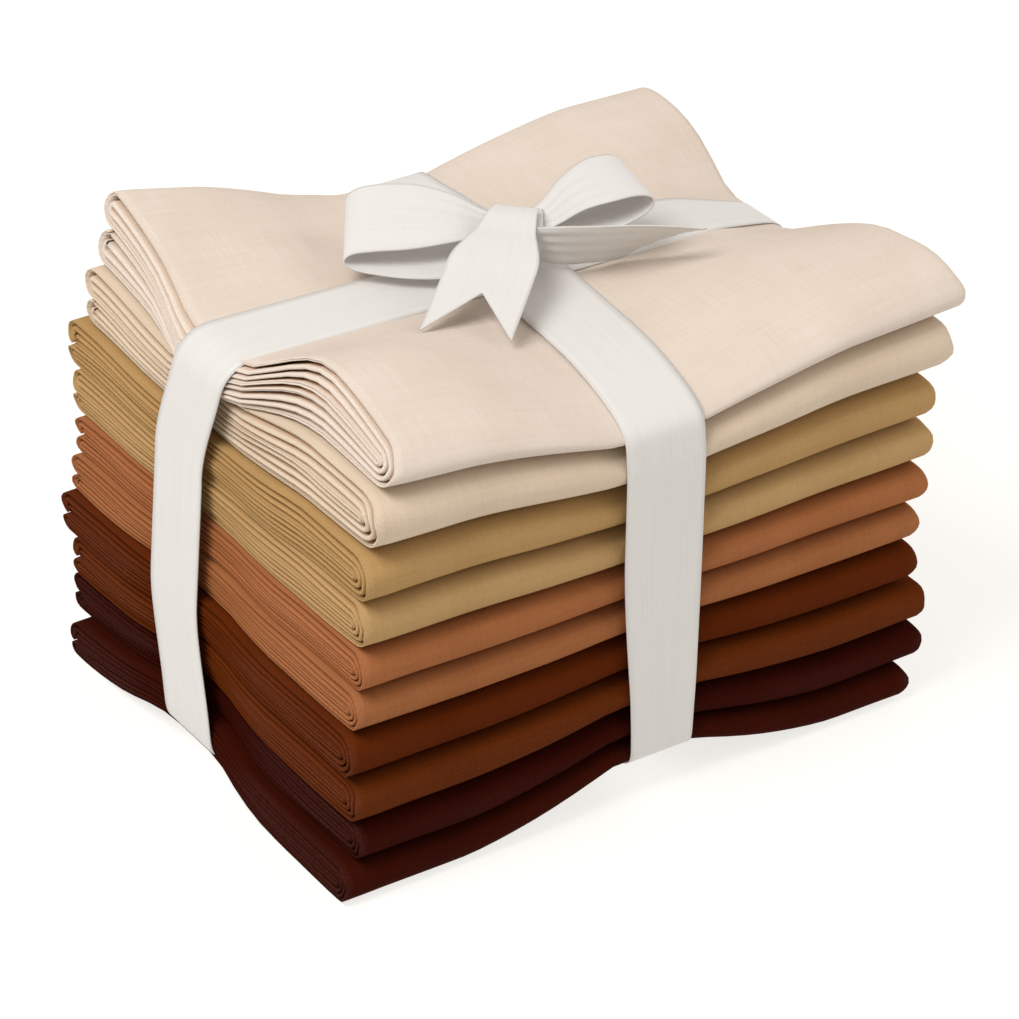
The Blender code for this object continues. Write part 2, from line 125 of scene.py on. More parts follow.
# How the stack gives under the ribbon's two bands
RIBBON_WIDTH = 19.0
RIBBON_THICK = 0.3
RIBBON_CLEAR = 0.26
ROOM_BESIDE_BAND = 1.5
CROSS_X_FRONT = 0.1
CROSS_X_KNOT = 6.4
CROSS_X_BACK = 4.5
LENGTH_Y = 8.3
LENGTH_Y_TOP = 5.3
LENGTH_Y_SIDE = 12.3
LENGTH_Y_FOOT = 5.8
LEAN_TOP_Z = 97.0
LEAN_END_Z = 68.0
FOOT_TOP_Z = 40.0
FOOT_END_Z = 4.0
FLAT_UNDER_CROSS = 10.5
FLAT_UNDER_LENGTH = 12.5
REACH_FROM_CROSS = 47.0
REACH_FROM_LENGTH = 43.0
TENT_FROM_CROSS = 87.0
TENT_FROM_LENGTH = 72.0
TENT_SHARE = 0.4
PRESS_POWER = 1.5
LIFT_UNDER_CROSS = 8.4
LIFT_UNDER_LENGTH = 4.8
LIFT_FADE = 4.8
DIP_MIDDLE = 10.0
DIP_AT_FRONT = 11.0
DIP_AT_BACK = 11.2
DIP_AT_START = 10.0
DIP_AT_END = 15.5
DIP_FADE = 3
RIGHT_CORNER_DROP = 3.0
BACK_CORNER_DROP = 4.5
DROP_POWER = 4
LEFT_CORNER_FLARE = 12.0
FLARE_POWER = 16
FLARE_START = (-20.0, 20.0)
LEFT_DOME = 6.0
DOME_Y = -31.0
DOME_EDGES = (-66.0, -4.0)
RIGHT_DOME = 3.2
RIGHT_DOME_X = 38.0
RIGHT_DOME_Y = -53.0
RIGHT_DOME_EDGES = (-72.0, -33.0)
BACK_DOME = 3.4
BACK_DOME_Y = 36.0
BACK_DOME_EDGES = (14.0, 62.0)
FRONT_DROOP = 4.6
DROOP_START = 32.0
DROOP_POWER = 16
BOX_HALF = (75.0, 60.0)

# Where the ribbon narrows: the lengthwise band's right end and the crosswise band's foot in front
END_GATHER_X = (45.0, 74.0)
END_GATHER_Z = (68.0, 87.0)
END_NARROWER = 0.40
FOOT_FRONT_Y = (40.0, 58.0)
FOOT_GATHER_Z = (62.0, 6.0)
FOOT_NARROWER = 0.20
FOOT_ASIDE = 1.5

# The cloth's own unevenness
NOISE_REACH = 1.6
SEED_APART = 37.0
END_STAGGER = 0.40
STRAY_WAVE = (30.0, 3.5)
END_DEPTH = 14.0
ROUND_AT_START = 0.20
ROUND_AT_END = 0.60
RAW_PINCH = 5.0
RAW_CURL = 88.0
RAW_TUCK = 0.8
TOP_BULGE = 6.0
ROUND_UNDER_BAND = 0.60
TOP_SLANT = 3.6
PLY_DRIFT = 0.30
DRIFT_WAVE = (30.0, 26.0, 3.6)
DRIFT_SEED = 11
DRIFT_INSIDE = 0.45
FRONT_RIPPLE = 0.35
RIPPLE_WAVE = 28.0
PULL_AT_SIDE = 1.8
PULL_AT_FRONT = 0.8
NIP = 0.10
NIP_AWAY = 0.35
NIP_DEPTH = 9.0
NIP_REACH = 30.0

# How deep in the block a ply counts as hidden and gets painted shade, and how far its paler folds, partly
# wear and partly a painted rim highlight, reach from the edges
HIDDEN_BELOW = (0.4, 0.9)
HIDDEN_FROM_ENDS = (0.3, 1.8)
HIDDEN_FROM_BACK = (0.8, 3.0)
WEAR_AND_RIM_AT_ENDS = 1.6
WEAR_AND_RIM_AT_FRONT = 1.2
WEAR_AND_RIM_FRONT_SHARE = 0.35

# Mesh steps, and how often each band's outline is softened
BAND_STEP = 1.3
BAND_ACROSS = 10
BAND_ROUNDS = (4, 2)
DISC_STEP = 20
LEAST_TURN = 1e-6
RUN_STEPS_X = 36
CROWD_TO_ENDS = 0.45
RUN_STEPS_Y = 22
WIDE_TURN_STEPS = 12
TURN_STEPS = 7
PLY_TURN_STEPS = 5

# The bow, in the directions that its loops and tails take from the knot
KNOT_X = 7.5
KNOT_Y = 5.0
KNOT_AXIS = math.radians(-33.0)
KNOT_FACE = 0.62
KNOT_ROUND = 34.0
KNOT_HALF_WIDE = 5.6
KNOT_HALF_DEEP = 6.0
KNOT_RINGS = 20
KNOT_AROUND = 72
KNOT_BARREL = 0.10
KNOT_TUCK = 0.62
KNOT_DRAW_IN = 0.25
KNOT_CREASE = 0.10
KNOT_CREASE_TURNS = 10.0
KNOT_CREASE_LEAN = 1.4
KNOT_SQUARE = 3
HEADING_LOOP_LEFT = math.radians(146.8)
HEADING_LOOP_RIGHT = math.radians(-12.0)
HEADING_TAIL_FRONT = math.radians(-137.0)
HEADING_TAIL_RIGHT = math.radians(-20.0)
TAIL_FRONT_NOTCH = 14.0
TAIL_RIGHT_SLANT = 17.0
TAIL_CUT_FROM = 0.4
PLEATS = 4
PLEAT_DEPTH = 0.08
FRONT_PLEAT_DEPTH = 0.03
STRIP_ACROSS = 24
STRIP_STEPS = 8

# One row for each stop along a strip: distance from the knot, height, sideways, width and tilt
Place = namedtuple("Place", "reach height side width tilt")
LOOP_LEFT = (
    Place(3.0, 3.4, -1.5, 9.0, 2.0), Place(7.9, 2.0, -3.6, 13.0, 4.0),
    Place(14.0, 1.2, -5.0, 17.0, 4.0), Place(22.0, 1.1, -4.2, 19.0, 4.0),
    Place(29.5, 1.4, -2.6, 19.0, 5.0), Place(33.8, 2.6, -1.6, 19.0, 9.0),
    Place(35.6, 4.9, -1.4, 19.0, 14.0), Place(33.9, 7.1, -1.2, 19.0, 18.0),
    Place(29.0, 8.1, -1.2, 19.0, 20.0), Place(21.0, 8.4, -1.2, 18.5, 19.0),
    Place(13.0, 7.8, -1.0, 15.0, 14.0), Place(7.9, 6.5, -0.5, 11.0, 8.0),
    Place(3.0, 5.4, 0.0, 9.0, 2.0),
)
LOOP_RIGHT = (
    Place(3.0, 4.0, 0.0, 9.0, 0.0), Place(7.9, 4.5, 0.0, 11.0, 0.0), Place(12.0, 4.9, 0.0, 14.0, 0.0),
    Place(18.0, 6.0, 0.0, 18.0, 2.0), Place(23.5, 7.8, 0.0, 19.0, 2.0), Place(26.8, 10.0, 0.0, 19.0, 2.0),
    Place(26.6, 12.2, 0.0, 19.0, 2.0), Place(23.4, 13.2, 0.0, 19.0, 2.0), Place(18.4, 12.8, 0.0, 18.5, 2.0),
    Place(12.6, 10.8, 0.0, 15.0, 0.0), Place(7.9, 7.6, 0.0, 11.0, 0.0), Place(3.0, 5.2, 0.0, 9.0, 0.0),
)
TAIL_FRONT = (
    Place(-1.0, 9.6, 0.0, 9.5, 0.0), Place(3.0, 9.9, 0.0, 10.5, 0.0), Place(8.2, 8.6, 0.0, 12.5, 0.0),
    Place(12.0, 8.2, 0.0, 15.0, 0.0), Place(18.0, 7.2, 0.0, 18.6, 0.0), Place(25.0, 5.4, 0.0, 19.0, 0.0),
    Place(42.5, 1.9, 0.0, 19.0, 0.0),
)
TAIL_RIGHT = (
    Place(2.0, 4.2, -5.0, 10.0, -60.0), Place(7.0, 4.7, -9.0, 12.0, -66.0),
    Place(16.0, 4.2, -9.5, 14.0, -58.0), Place(27.0, 3.2, -8.0, 17.0, -46.0),
    Place(37.5, 1.9, -6.0, 19.0, -35.0),
)

# The pale paper and the soft lights
FLOOR_GREY = 0.25
FLOOR_HALF = 4.0
FLOOR_GLOW = (1.0, 0.98, 0.94, 1.0)
FLOOR_GLOW_STRENGTH = 0.78
SKY_COLOUR = (1.0, 0.960, 0.890, 1.0)
SKY_STRENGTH = 0.56
LIGHT_AIM = (0.0, 0.0, 0.05)

# The camera, found from the corners of the stack
CAMERA_AZIMUTH = math.radians(-33.2)
CAMERA_ELEVATION = math.radians(30.6)
CAMERA_DISTANCE = 940.5
CAMERA_TARGET = (-7.5, -15.5, 50.0)
CAMERA_LENS = 158.6
SENSOR_WIDTH = 36.0


class Wire:
    """A shader socket that can be added to, multiplied and so on, each with a Math node."""

    def __init__(self, tree, socket=None):
        self.tree = tree
        self.socket = socket

    def node(self, kind, settings, values, output=0):
        """Any node: its settings go in first, then the values or links of its sockets."""
        made = self.tree.nodes.new(kind)
        for name, setting in settings.items():
            setattr(made, name, setting)
        for name, value in values.items():
            if isinstance(value, Wire):
                self.tree.links.new(value.socket, made.inputs[name])
            else:
                made.inputs[name].default_value = value
        return Wire(self.tree, made.outputs[output])

    def math(self, operation, *values):
        return self.node("ShaderNodeMath", {"operation": operation}, dict(enumerate(values)))

    def __add__(self, other):
        return self.math("ADD", self, other)

    def __mul__(self, other):
        return self.math("MULTIPLY", self, other)

    def sine(self):
        return self.math("SINE", self)

    def absolute(self):
        return self.math("ABSOLUTE", self)

    def between(self, low, high):
        """Nought at low, one at high, smooth between."""
        return self.node(
            "ShaderNodeMapRange", {"interpolation_type": "SMOOTHSTEP"}, {0: self, 1: low, 2: high}
        )

    def blend(self, start, finish):
        """A colour from start to finish as this goes from nought to one."""
        start, finish = [c if isinstance(c, Wire) else (*c, 1.0) for c in (start, finish)]
        return self.node(
            "ShaderNodeMix", {"data_type": "RGBA"}, {0: self, 6: start, 7: finish}, output=2
        )

    def speckle(self, along, across, detail=2.0):
        """Cloudy noise on the flat cloth, along and across being its scales per metre."""
        spread = self.node("ShaderNodeMapping", {}, {"Vector": self, "Scale": (along, across, 1.0)})
        return self.node("ShaderNodeTexNoise", {}, {"Vector": spread, "Scale": 1.0, "Detail": detail})


def start_material(name):
    """A new material, its Principled shader, and a wire that makes its other nodes."""
    made = bpy.data.materials.new(name)
    made.use_nodes = True
    shader = made.node_tree.nodes["Principled BSDF"]
    return made, shader, Wire(made.node_tree)


def flat_cloth(bench):
    """The piece's place on its flat cloth, in metres, and its two parts."""
    flat = bench.node("ShaderNodeUVMap", {"uv_map": "flat"}, {})
    length = bench.node("ShaderNodeSeparateXYZ", {}, {0: flat})
    width = bench.node("ShaderNodeSeparateXYZ", {}, {0: flat}, output=1)
    return flat, length, width


def plug(shader, wires, numbers):
    for name, wire in wires.items():
        wire.tree.links.new(wire.socket, shader.inputs[name])
    for name, number in numbers.items():
        shader.inputs[name].default_value = number


def quilting_cotton(slot):
    """Plain-woven cotton: threads over and under, thick and thin yarns, folds paler from wear and a painted
    rim highlight, and painted shade between plies.
    """
    made, shader, bench = start_material(f"quilting_cotton_{slot}")
    dye = DYES[slot]
    flat, length, width = flat_cloth(bench)
    turns = 2 * math.pi / (THREAD_PITCH * MM)
    weave = (length * turns).sine() * (width * turns).sine()
    coarse, fine = SLUB_SCALE
    slubs = (flat.speckle(coarse, fine) + flat.speckle(fine, coarse)) * 0.5
    clouds = flat.speckle(CLOUD_SCALE, CLOUD_SCALE, CLOUD_DETAIL)
    fuzz = flat.speckle(FUZZ_SCALE, FUZZ_SCALE)
    tone = slubs * 0.45 + clouds * 0.35 + fuzz * 0.12 + weave * 0.10
    colour = tone.between(*TONE_RANGE).blend(dye.deep, dye.light)
    # Paler at the fold ends and front: partly wear, partly a painted rim highlight
    wear_and_rim_highlight = bench.node("ShaderNodeAttribute", {"attribute_name": "wear_and_rim_highlight"}, {}, output=2)
    paler = [c + (1 - c) * WEAR_AND_RIM_LIGHTER * (0.25 + c) for c in dye.light]
    colour = (wear_and_rim_highlight * fuzz.between(0.25, 0.75)).blend(colour, paler)
    # Painted shade deep between the plies, where the gaps would lie in shadow
    painted_gap_shade = bench.node("ShaderNodeAttribute", {"attribute_name": "painted_gap_shade"}, {}, output=2)
    shade = [c * PAINTED_GAP_SHADE_TINT[n] for n, c in enumerate(dye.deep)]
    colour = (painted_gap_shade * PAINTED_GAP_SHADE_STRENGTH).blend(colour, shade)
    height = weave * 0.5 + slubs * 0.9 + fuzz * 0.35
    bump = bench.node(
        "ShaderNodeBump", {}, {"Strength": 0.34, "Distance": 0.00022, "Height": height}
    )
    roughness = clouds * 0.10 + (COTTON_ROUGHNESS - 0.05)
    plug(shader, {"Base Color": colour, "Roughness": roughness, "Normal": bump}, {
        "Specular IOR Level": COTTON_GLOSS,
    })
    return made


def white_satin():
    """Satin ribbon: fine cross ribs, a matt woven edge, long soft streaks of gloss, and a faint painted
    glow for light through it.
    """
    made, shader, bench = start_material("white_satin")
    flat, length, width = flat_cloth(bench)
    ribs = (length * (2 * math.pi / (RIB_PITCH * MM))).sine()
    streaks = flat.speckle(*STREAK_SCALE)
    selvage = width.absolute().between(*SELVAGE)
    tone = (streaks * 0.7 + ribs * 0.06 + selvage * 0.25).between(0.15, 0.9)
    colour = tone.blend(SATIN_LIGHT, SATIN_DEEP)
    height = ribs * 0.35 + streaks * 0.5 + selvage * 1.2
    bump = bench.node(
        "ShaderNodeBump", {}, {"Strength": 0.22, "Distance": 0.00012, "Height": height}
    )
    roughness = streaks * 0.14 + selvage * 0.14 + 0.30
    plug(shader, {"Base Color": colour, "Roughness": roughness, "Normal": bump}, {
        # Painted glow: a faint warm emission lifts the satin's shade, standing in for light through the
        # thin ribbon
        "Emission Color": SATIN_PAINTED_GLOW,
        "Emission Strength": 0.08,
        "Sheen Weight": 0.05,
        "Sheen Roughness": 0.3,
        "Specular IOR Level": 0.22,
    })
    return made


def ramp(value, start, end):
    """Nought at start, one at end, straight between."""
    return min(max((value - start) / (end - start), 0.0), 1.0)


def ease(value, start, end):
    """Nought at start, one at end, with soft ends."""
    share = ramp(value, start, end)
    return share * share * (3 - 2 * share)


def hump(value, crown, edges):
    """One at the crown, nought from the edges on, with soft slopes."""
    return ease(value, edges[0], crown) - ease(value, crown, edges[1])


def press(distance, flat, reach):
    """How much a band presses the cloth at this distance from its middle line: steepest beside it."""
    return (1 - ramp(abs(distance), flat, reach)) ** PRESS_POWER


def slope(distance, flat, tent):
    """The straight slope on which the whole layer leans towards a band."""
    return 1 - ramp(abs(distance), flat, tent)


def cross_x(y):
    """The crosswise band's middle line: askew up to the knot, straighter behind it."""
    if y < LENGTH_Y:
        return CROSS_X_FRONT + (CROSS_X_KNOT - CROSS_X_FRONT) * (y - FRONT_Y) / (LENGTH_Y - FRONT_Y)
    return CROSS_X_KNOT + (CROSS_X_BACK - CROSS_X_KNOT) * (y - LENGTH_Y) / (-FRONT_Y - LENGTH_Y)


def join(along_cross, along_length, under_cross, under_length):
    """Join the two bands' effects, the deeper one ruling where they cross."""
    return (
        under_cross * along_cross * (1 - along_length)
        + under_length * along_length * (1 - along_cross)
        + max(under_cross, under_length) * along_cross * along_length
    )


def bottom_lift(x, y):
    """How far the bands draw the bottom up; its corners stay flat on the table."""
    along_cross = press(x - cross_x(y), FLAT_UNDER_CROSS, REACH_FROM_CROSS)
    along_length = press(y - LENGTH_Y, FLAT_UNDER_LENGTH, REACH_FROM_LENGTH)
    return join(along_cross, along_length, LIFT_UNDER_CROSS, LIFT_UNDER_LENGTH)


def top_dip(x, y):
    """The depth pressed into the top, deeper at the edges that the bands bend over."""
    across = x - cross_x(y)
    under_cross = DIP_MIDDLE
    under_cross += (DIP_AT_FRONT - DIP_MIDDLE) * ramp(-y, REACH_FROM_LENGTH - LENGTH_Y, BOX_HALF[1])
    under_cross += (DIP_AT_BACK - DIP_MIDDLE) * ramp(y, LENGTH_Y + REACH_FROM_LENGTH, BOX_HALF[1])
    under_length = DIP_MIDDLE
    under_length += (DIP_AT_START - DIP_MIDDLE) * ramp(-x, REACH_FROM_CROSS - cross_x(y), BOX_HALF[0])
    under_length += (DIP_AT_END - DIP_MIDDLE) * ramp(x, REACH_FROM_CROSS + cross_x(y), BOX_HALF[0])
    pressed = join(
        press(across, FLAT_UNDER_CROSS, REACH_FROM_CROSS),
        press(y - LENGTH_Y, FLAT_UNDER_LENGTH, REACH_FROM_LENGTH),
        under_cross, under_length,
    )
    leaning = join(
        slope(across, FLAT_UNDER_CROSS, TENT_FROM_CROSS),
        slope(y - LENGTH_Y, FLAT_UNDER_LENGTH, TENT_FROM_LENGTH if y > LENGTH_Y else REACH_FROM_LENGTH),
        under_cross, under_length,
    )
    return pressed * (1 - TENT_SHARE) + leaning * TENT_SHARE


def boundary(level, x, y):
    """The height of the surface between two quarters, or of the stack's bottom or top."""
    share = level / STACK_HEIGHT
    east = ramp(x, -BOX_HALF[0], BOX_HALF[0])
    north = ramp(y, -BOX_HALF[1], BOX_HALF[1])
    drop = RIGHT_CORNER_DROP * east * (1 - north) + BACK_CORNER_DROP * east * north
    flare_x = ramp(-x, -FLARE_START[0], BOX_HALF[0])
    flare_y = ramp(y, FLARE_START[1], BOX_HALF[1])
    dome = LEFT_DOME * flare_x * hump(y, DOME_Y, DOME_EDGES)
    dome += RIGHT_DOME * ramp(x, RIGHT_DOME_X, BOX_HALF[0]) * hump(y, RIGHT_DOME_Y, RIGHT_DOME_EDGES)
    dome += BACK_DOME * ramp(x, RIGHT_DOME_X, BOX_HALF[0]) * hump(y, BACK_DOME_Y, BACK_DOME_EDGES)
    droop = FRONT_DROOP * ramp(-y, DROOP_START, BOX_HALF[1]) ** 2
    height = level - drop * share ** DROP_POWER - droop * share ** DROOP_POWER
    height += (LEFT_CORNER_FLARE * flare_x * flare_y + dome) * share ** FLARE_POWER
    return height + bottom_lift(x, y) * (1 - share) ** LIFT_FADE - top_dip(x, y) * share ** DIP_FADE


Stop = namedtuple("Stop", "travel place level side_place side_level")


def fold_in_four(raw_ends, nested_end, joined_end, levels, run_steps, wide_steps, turn_steps, curl=0.0):
    """The line of cloth folded in half twice, from one raw edge to the other, as a list of stops.

    It runs to the nested end, round the wide turn, back, round the joined end, on, and back once
    more round the tight turn inside the wide one. The levels go from the first run's side down.
    The first raw edge may curl, by an angle in degrees below level, over the last one.
    """
    way = math.copysign(1.0, nested_end - joined_end)
    line = []

    def run(level, start, end, side):
        for n in range(run_steps):
            even = n / run_steps
            share = even + ((1 - math.cos(math.pi * even)) / 2 - even) * CROWD_TO_ENDS
            line.append((start + (end - start) * share, level, 0.0, side))

    def turn(centre, upper, lower, first, last, steps, bulge, side):
        middle, radius = (upper + lower) / 2, (upper - lower) / 2
        for n in range(steps):
            angle = math.radians(first + (last - first) * n / steps)
            out, up = bulge * math.cos(angle), math.sin(angle)
            line.append((centre + radius * out, middle + radius * up, side * out, side * up))

    if curl:
        turn(raw_ends[0], levels[0], levels[1], -curl, 90, turn_steps, -way, 1.0)
    run(levels[0], raw_ends[0], nested_end, 1.0)
    turn(nested_end, levels[0], levels[3], 90, -90, wide_steps, way, 1.0)
    run(levels[3], nested_end, joined_end, -1.0)
    turn(joined_end, levels[2], levels[3], -90, 90, turn_steps, -way, 1.0)
    run(levels[2], joined_end, nested_end, 1.0)
    turn(nested_end, levels[1], levels[2], -90, 90, turn_steps, way, -1.0)
    run(levels[1], nested_end, raw_ends[1], -1.0)
    line.append((raw_ends[1], levels[1], 0.0, -1.0))
    travel = 0.0
    stops = []
    for n, (place, level, side_place, side_level) in enumerate(line):
        if n:
            travel += math.hypot(place - line[n - 1][0], level - line[n - 1][1])
        stops.append(Stop(travel, place, level, side_place, side_level))
    return stops


def strip_line(quarter, spread):
    """The cloth's length folded into a strip of four plies, as (x, level in the strip)."""
    inner, outer = PLY_APART / 2 * spread, (PLY_APART / 2 + PLY_TOUCH) * spread
    levels = (outer, inner, -inner, -outer)
    raw_ends = [quarter.start + setback for setback in RAW_SETBACK]
    stops = fold_in_four(
        raw_ends, quarter.end - outer, quarter.start + JOINED_SETBACK, levels,
        RUN_STEPS_X, PLY_TURN_STEPS, PLY_TURN_STEPS,
    )
    middle, closed = (outer + inner) / 2, RAW_CLOSED * CLOTH_THICK / (outer - inner)

    def pinch(stop):
        """The raw pair's plies come together towards their edges."""
        if stop.level < inner:
            return stop
        share = closed + (1 - closed) * ease(abs(stop.place - quarter.start), 0.0, RAW_PINCH)
        return stop._replace(level=middle + (stop.level - middle) * share)

    return [pinch(stop) for stop in stops]


def block_line(quarter, pitch):
    """The strip folded into the block, as (y, z) with the way to its upper side."""
    middle = quarter.thick / 2
    levels = [middle + pitch * n for n in (1.5, 0.5, -0.5, -1.5)]
    back = BACK_Y + quarter.back
    raw_ends = (back - pitch, back - pitch - RAW_TUCK)
    stops = fold_in_four(
        raw_ends, FRONT_TURN_Y + quarter.front, back - pitch, levels,
        RUN_STEPS_Y, WIDE_TURN_STEPS, TURN_STEPS, RAW_CURL,
    )
    if quarter.raw_pair == "bottom":
        stops = [
            Stop(s.travel, s.place, quarter.thick - s.level, s.side_place, -s.side_level) for s in stops
        ]
    return stops


def wander(x, y, z, seed):
    """Smooth noise from about -1 to 1 that differs for each seed."""
    return noise.noise(Vector((x, y, z + SEED_APART * seed))) * NOISE_REACH


def crumple(quarter, x, y, z):
    """Move a point of the folded block as real cloth strays: ends, gaps, and the ribbon's pull."""
    seed = quarter.number
    height = z / quarter.thick
    near_start = ease(quarter.start + END_DEPTH - x, 0.0, END_DEPTH)
    near_end = ease(x - quarter.end + END_DEPTH, 0.0, END_DEPTH)
    near_front = ease(FRONT_Y + NIP_DEPTH - y, 0.0, NIP_DEPTH)
    stray = END_STAGGER * wander(0.0, y / STRAY_WAVE[0], z / STRAY_WAVE[1], seed)
    beside_length = press(y - LENGTH_Y_TOP, RIBBON_WIDTH / 2, NIP_REACH)
    pull = PULL_AT_SIDE * beside_length
    rounded = quarter.thick / 2 * (1 - math.sqrt(max(1 - (2 * height - 1) ** 2, 0.0)))
    round_start = ROUND_AT_START
    if seed == TOP_QUARTER:
        pull -= TOP_BULGE * beside_length + TOP_SLANT * (1 - height)
        round_start += (ROUND_UNDER_BAND - ROUND_AT_START) * beside_length
    x += near_start * (stray + pull + rounded * round_start)
    x += near_end * (stray - PULL_AT_SIDE * beside_length - rounded * ROUND_AT_END)
    beside_cross = press(x - cross_x(y), RIBBON_WIDTH / 2, NIP_REACH)
    ripple = FRONT_RIPPLE * wander(x / RIPPLE_WAVE, 0.0, 0.0, seed)
    y += near_front * (PULL_AT_FRONT * beside_cross + ripple)
    inside = 4 * height * (1 - height)
    drift = wander(x / DRIFT_WAVE[0], y / DRIFT_WAVE[1], z / DRIFT_WAVE[2], seed + DRIFT_SEED)
    drift *= DRIFT_INSIDE + (1 - DRIFT_INSIDE) * near_start
    z += PLY_DRIFT * inside * drift
    z += (quarter.thick / 2 - z) * NIP * near_front * (NIP_AWAY + (1 - NIP_AWAY) * beside_cross)
    return x, y, z


def buried(quarter, x, y, z):
    """One where a ply lies well inside the folded block, nought on what shows from outside: the share of
    painted shade between the plies.
    """
    cover = min(z, quarter.thick - z)
    if y < FRONT_TURN_Y:
        cover = quarter.thick / 2 - math.hypot(y - FRONT_TURN_Y, z - quarter.thick / 2)
    inside = ease(cover, *HIDDEN_BELOW)
    inside *= ease(min(x - quarter.start, quarter.end - x), *HIDDEN_FROM_ENDS)
    return inside * ease(BACK_Y + quarter.back - y, *HIDDEN_FROM_BACK)


def settle(index, x, y, z):
    """Lay a point of a quarter between the surfaces above and below it in the stack."""
    floor = boundary(LEVELS[index], x, y) + (STACK_GAP / 2 if index > 0 else 0.0)
    ceiling = boundary(LEVELS[index + 1], x, y) - STACK_GAP / 2
    return floor + (ceiling - floor) * z / QUARTERS[index].thick


def finish_piece(name, bm, material, nodes):
    """Turn a bmesh in millimetres into a smooth piece in metres that stands for its nodes."""
    bmesh.ops.scale(bm, vec=(MM, MM, MM), verts=bm.verts)
    mesh = bpy.data.meshes.new(name)
    bm.to_mesh(mesh)
    bm.free()
    mesh.shade_smooth()
    mesh.materials.append(material)
    piece = bpy.data.objects.new(name, mesh)
    bpy.context.collection.objects.link(piece)
    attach(piece, "root")
    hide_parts(*nodes)
    return piece


def thicken(piece, thick):
    wall = piece.modifiers.new("cloth thickness", "SOLIDIFY")
    wall.thickness = thick * MM
    wall.offset = 0.0
    wall.use_rim = True


def cotton_sheet(index):
    """One fat quarter: a flat grid, its UVs in metres, then folded, crumpled and settled."""
    quarter = QUARTERS[index]
    spacing = PLIES / 2 * PLY_TOUCH + (PLIES / 2 - 1) * PLY_APART
    spread = (quarter.thick - CLOTH_THICK - PLY_SPARE) / spacing
    pitch = 2 * (PLY_TOUCH + PLY_APART) * spread
    along = strip_line(quarter, spread)
    across = block_line(quarter, pitch)
    bm = bmesh.new()
    flat = bm.loops.layers.uv.new("flat")
    wear_and_rim_highlight = bm.verts.layers.float.new("wear_and_rim_highlight")
    painted_gap_shade = bm.verts.layers.float.new("painted_gap_shade")
    bmesh.ops.create_grid(bm, x_segments=len(along) - 1, y_segments=len(across) - 1, size=1.0)
    stops = {}
    for vert in bm.verts:
        column = along[round((vert.co.x + 1) / 2 * (len(along) - 1))]
        row = across[round((vert.co.y + 1) / 2 * (len(across) - 1))]
        stops[vert] = (column, row)
        x = column.place
        y = row.place + column.level * row.side_place
        z = row.level + column.level * row.side_level
        # How much painted shade this point gets, by how deep it lies between the plies
        vert[painted_gap_shade] = buried(quarter, x, y, z)
        x, y, z = crumple(quarter, x, y, z)
        vert.co = (x, y, settle(index, x, y, z))
        # Paler edges, partly wear and partly a painted rim highlight
        at_start = ease(quarter.start + WEAR_AND_RIM_AT_ENDS - x, 0.0, WEAR_AND_RIM_AT_ENDS)
        at_end = ease(x - quarter.end + WEAR_AND_RIM_AT_ENDS, 0.0, WEAR_AND_RIM_AT_ENDS)
        at_front = WEAR_AND_RIM_FRONT_SHARE * ease(FRONT_Y + WEAR_AND_RIM_AT_FRONT - y, 0.0, WEAR_AND_RIM_AT_FRONT)
        vert[wear_and_rim_highlight] = max(at_start, at_end, at_front)
    for face in bm.faces:
        for loop in face.loops:
            column, row = stops[loop.vert]
            loop[flat].uv = (
                CUT_LENGTH * MM * column.travel / along[-1].travel,
                CUT_WIDTH * MM * row.travel / across[-1].travel,
            )
    name = f"cotton_sheet_{quarter.number:02d}"
    solid = f"fat_quarter_{quarter.number:02d}"
    piece = finish_piece(name, bm, quilting_cotton(quarter.slot), [solid])
    thicken(piece, CLOTH_THICK)
    return piece


def hull(points):
    """The convex outline round flat points, anticlockwise."""
    ordered = sorted(set((round(a, 4), round(b, 4)) for a, b in points))
    outline = []
    for sweep in (ordered, ordered[::-1]):
        chain = []
        for point in sweep:
            while len(chain) > 1:
                (ax, ay), (bx, by) = chain[-2], chain[-1]
                if (bx - ax) * (point[1] - ay) - (by - ay) * (point[0] - ax) > LEAST_TURN:
                    break
                chain.pop()
            chain.append(point)
        outline += chain[:-1]
    return outline


def swell(points, stand_off):
    """The hull of points with a small disc of this radius round each."""
    angles = [math.radians(angle) for angle in range(0, 360, DISC_STEP)]
    disc = [(math.cos(angle) * stand_off, math.sin(angle) * stand_off) for angle in angles]
    return hull([(a + da, b + db) for a, b in hull(points) for da, db in disc])


def even_steps(outline, step):
    """Points at even steps along a closed outline, and the whole way round."""
    closed = outline + outline[:1]
    lengths = [math.dist(a, b) for a, b in zip(closed, closed[1:])]
    whole = sum(lengths)
    count = round(whole / step)
    found = []
    passed, side = 0.0, 0
    for n in range(count):
        want = whole * n / count
        while passed + lengths[side] < want:
            passed += lengths[side]
            side += 1
        share = (want - passed) / lengths[side]
        (ax, ay), (bx, by) = closed[side], closed[side + 1]
        found.append((ax + (bx - ax) * share, ay + (by - ay) * share))
    return found, whole


def soften(points, rounds):
    """Round a closed line's corners a little by averaging neighbours."""
    for _ in range(rounds):
        around = zip(points[-1:] + points[:-1], points, points[1:] + points[:1])
        points = [tuple((a + 2 * b + c) / 4 for a, b, c in zip(*three)) for three in around]
    return points


